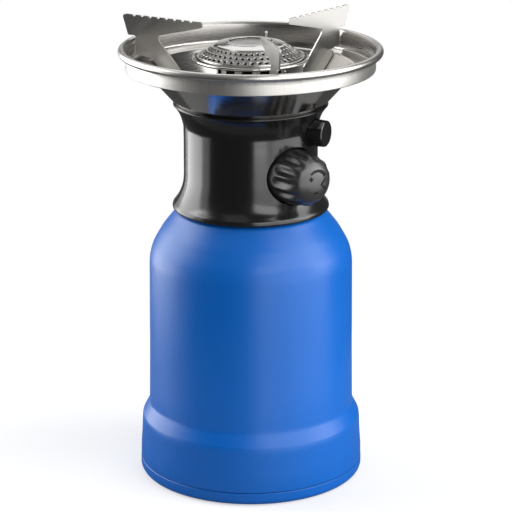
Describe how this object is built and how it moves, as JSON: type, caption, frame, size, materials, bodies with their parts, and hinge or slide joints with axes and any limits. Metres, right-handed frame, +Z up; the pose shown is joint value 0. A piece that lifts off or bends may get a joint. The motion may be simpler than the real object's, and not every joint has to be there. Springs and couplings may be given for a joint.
{
  "type": "portable gas stove",
  "caption": "Portable gas stove: a domed housing over a pierceable cartridge, a collar with knob and igniter, and a bowl with burner and pan supports.",
  "frame": {"origin": "centre of the base plate's underside, on the stove's axis, where it stands on the ground", "axes": "+Z up along the stove's axis, -Y towards the control knob"},
  "size_m": [0.122, 0.1202, 0.214],
  "materials": {
    "blue_moulding": "satin, fine texture",
    "black_moulding": "gloss",
    "grey_moulding": "satin",
    "stainless": "brushed",
    "plated_steel": "bright",
    "spring_steel": "drawn",
    "painted_can": "gloss",
    "cast_alloy": "as cast",
    "brass": "machined",
    "sintered_bronze": "sintered",
    "rubber": "matt",
    "white_ceramic": "glazed",
    "lead_insulation": "matt"
  },
  "bodies": {
    "base": {"base_plate": "blue_moulding"},
    "housing": {"cartridge_housing": "blue_moulding", "neck_insert": "cast_alloy"},
    "cartridge": {"gas_cartridge": "painted_can"},
    "head": {"collar": "black_moulding", "valve_body": "brass", "valve_screw_1": "plated_steel", "valve_screw_2": "plated_steel", "valve_screw_3": "plated_steel", "piercing_needle": "stainless", "inlet_filter": "sintered_bronze", "cartridge_gasket": "rubber", "gland_nut": "brass", "spindle_o_ring": "rubber", "gas_jet": "brass", "mixing_tube": "brass", "bowl": "stainless", "bowl_nut": "brass", "bowl_screw_1": "plated_steel", "bowl_screw_2": "plated_steel", "bowl_screw_3": "plated_steel", "burner_support": "stainless", "burner_pan": "stainless", "burner_crown": "stainless", "pan_support_1": "stainless", "pan_support_2": "stainless", "pan_support_3": "stainless", "piezo_body": "grey_moulding", "piezo_spring": "spring_steel", "ignition_lead": "lead_insulation", "electrode_wire": "stainless", "electrode_insulator": "white_ceramic", "electrode_clip": "stainless"},
    "knob": {"control_knob": "black_moulding"},
    "spindle": {"valve_spindle": "brass"},
    "button": {"piezo_button": "black_moulding"}
  },
  "joints": [
    {"name": "base_twist", "type": "hinge", "parent": "base", "child": "housing", "pos_m": [0, 0, 0], "axis": [0, 0, 1], "range_deg": [0, 25]},
    {"name": "head_turn", "type": "hinge", "parent": "housing", "child": "cartridge", "pos_m": [0, 0, 0], "axis": [0, 0, 1], "range_deg": [0, 1080]},
    {"name": "head_rise", "type": "slide", "parent": "cartridge", "child": "head", "axis": [0, 0, 1], "range_m": [0, 0.0091]},
    {"name": "knob_turn", "type": "hinge", "parent": "head", "child": "knob", "pos_m": [0, -0.024, 0.1484], "axis": [0, -1, 0], "range_deg": [0, 270]},
    {"name": "spindle_slide", "type": "slide", "parent": "knob", "child": "spindle", "axis": [0, -1, 0], "range_m": [0, 0.0008]},
    {"name": "button_push", "type": "slide", "parent": "head", "child": "button", "axis": [-0.4226, 0.9063, 0], "range_m": [0, 0.0035], "stiffness_N_per_m": 800, "springref_m": -0.002, "deforming": ["piezo_spring"]}
  ],
  "couplings": [
    {"joint": "head_rise", "follows": "head_turn", "m_per_rad": 0.00047746},
    {"joint": "spindle_slide", "follows": "knob_turn", "m_per_rad": 0.00015915}
  ]
}
